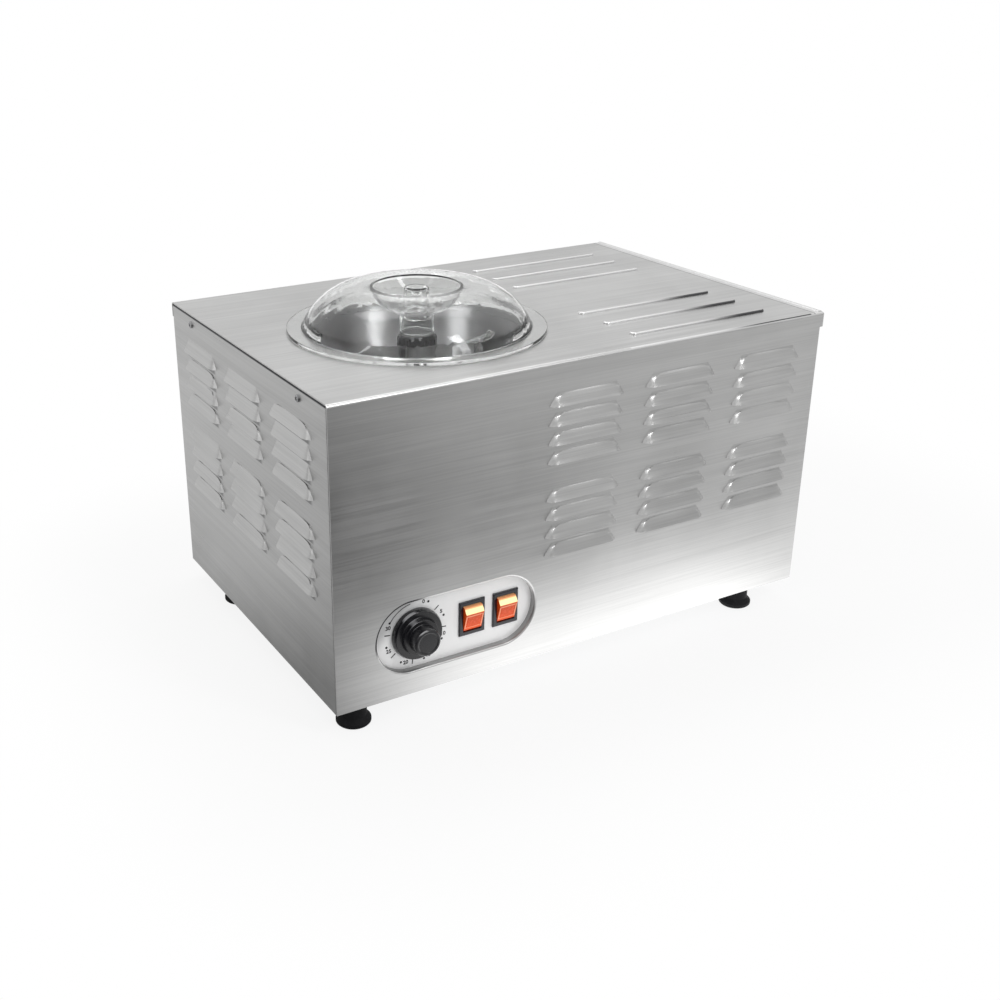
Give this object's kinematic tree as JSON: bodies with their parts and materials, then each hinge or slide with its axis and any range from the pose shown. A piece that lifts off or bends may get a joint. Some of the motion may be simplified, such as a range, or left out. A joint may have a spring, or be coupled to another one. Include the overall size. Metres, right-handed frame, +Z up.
{
  "type": "ice cream machine",
  "caption": "Table-top batch ice cream machine: louvred steel casing with a chilled bowl, stirrer, clear domed lid, timer knob and two rocker switches.",
  "frame": {"origin": "on the surface that the machine stands on, below the centre of the casing", "axes": "+X to the right along the front, +Y from the front to the rear, +Z up"},
  "size_m": [0.5205, 0.3738, 0.3374],
  "materials": {
    "stainless": "brushed stainless steel sheet",
    "screw_steel": "polished screws",
    "galvanised": "galvanised sheet",
    "foot_rubber": "black rubber",
    "bowl_steel": "spun stainless steel",
    "seal_rubber": "white silicone",
    "foam": "rigid foam",
    "cast_housing": "cast aluminium",
    "motor_paint": "dark grey paint",
    "shaft_steel": "ground steel",
    "dasher_steel": "stainless steel",
    "scraper_plastic": "white plastic",
    "nut_plastic": "black plastic",
    "clear_lid": "clear plastic",
    "knob_plastic": "black plastic",
    "timer_plastic": "moulded case",
    "switch_plastic": "black plastic",
    "rocker_amber": "amber see-through plastic",
    "compressor_paint": "black paint",
    "condenser_fins": "aluminium fins",
    "shroud_steel": "black coated sheet",
    "fan_aluminium": "pressed aluminium",
    "copper": "copper tube",
    "box_plastic": "grey plastic",
    "capacitor_can": "pale plastic can",
    "terminal_brass": "brass",
    "gland_plastic": "black nylon"
  },
  "bodies": {
    "casing": {"outer_cover": "stainless", "left_panel": "stainless", "right_panel": "stainless", "rear_panel": "stainless", "left_panel_screws": "screw_steel", "right_panel_screws": "screw_steel", "rear_panel_screws": "screw_steel", "base_pan": "galvanised", "foot_front_left": "foot_rubber", "foot_rear_left": "foot_rubber", "foot_front_right": "foot_rubber", "foot_rear_right": "foot_rubber", "foot_screws": "screw_steel", "bowl": "bowl_steel", "bowl_seal": "seal_rubber", "evaporator": "bowl_steel", "insulation": "foam", "gearbox": "cast_housing", "drive_motor": "motor_paint", "drive_bracket": "galvanised", "shaft_bearings": "shaft_steel", "shaft_seal": "foot_rubber", "timer": "timer_plastic", "switch_1": "switch_plastic", "switch_2": "switch_plastic", "compressor": "compressor_paint", "compressor_plate": "galvanised", "compressor_mounts": "foot_rubber", "condenser": "condenser_fins", "fan_shroud": "shroud_steel", "fan_motor": "motor_paint", "fan_bracket": "galvanised", "discharge_pipe": "copper", "suction_pipe": "copper", "liquid_pipe": "copper", "filter_drier": "copper", "evaporator_feed_pipe": "copper", "terminal_cover": "timer_plastic", "electrical_box": "box_plastic", "electrical_box_cover": "box_plastic", "motor_capacitor": "capacitor_can", "switch_terminals": "terminal_brass", "cord_gland": "gland_plastic", "gland_nut": "gland_plastic"},
    "timer_dial": {"timer_knob": "knob_plastic", "timer_shaft": "shaft_steel"},
    "rocker_left": {"rocker_1": "rocker_amber"},
    "rocker_right": {"rocker_2": "rocker_amber"},
    "stirrer": {"drive_shaft": "shaft_steel", "drive_pin": "shaft_steel", "dasher": "dasher_steel", "scrapers": "scraper_plastic", "dasher_nut": "nut_plastic"},
    "fan": {"fan_blade": "fan_aluminium"},
    "lid": {"lid": "clear_lid"},
    "feed_cap": {"feed_cap": "clear_lid"}
  },
  "joints": [
    {"name": "timer_turn", "type": "hinge", "parent": "casing", "child": "timer_dial", "pos_m": [-0.1755, -0.166, 0.077], "axis": [0, 1, 0], "range_deg": [0, 276]},
    {"name": "rocker_left_tilt", "type": "hinge", "parent": "casing", "child": "rocker_left", "pos_m": [-0.1198, -0.1625, 0.077], "axis": [1, 0, 0], "range_deg": [0, 25]},
    {"name": "rocker_right_tilt", "type": "hinge", "parent": "casing", "child": "rocker_right", "pos_m": [-0.0853, -0.1625, 0.077], "axis": [1, 0, 0], "range_deg": [0, 25]},
    {"name": "stirrer_turn", "type": "hinge", "parent": "casing", "child": "stirrer", "pos_m": [-0.092, -0.022, 0.2], "axis": [0, 0, 1], "continuous": true},
    {"name": "fan_turn", "type": "hinge", "parent": "casing", "child": "fan", "pos_m": [0.147, -0.1145, 0.1325], "axis": [0, 1, 0], "continuous": true},
    {"name": "lid_lift", "type": "slide", "parent": "casing", "child": "lid", "axis": [0, 0, 1], "range_m": [0, 0.12]},
    {"name": "feed_cap_lift", "type": "slide", "parent": "lid", "child": "feed_cap", "axis": [0, 0, 1], "range_m": [0, 0.05]}
  ]
}
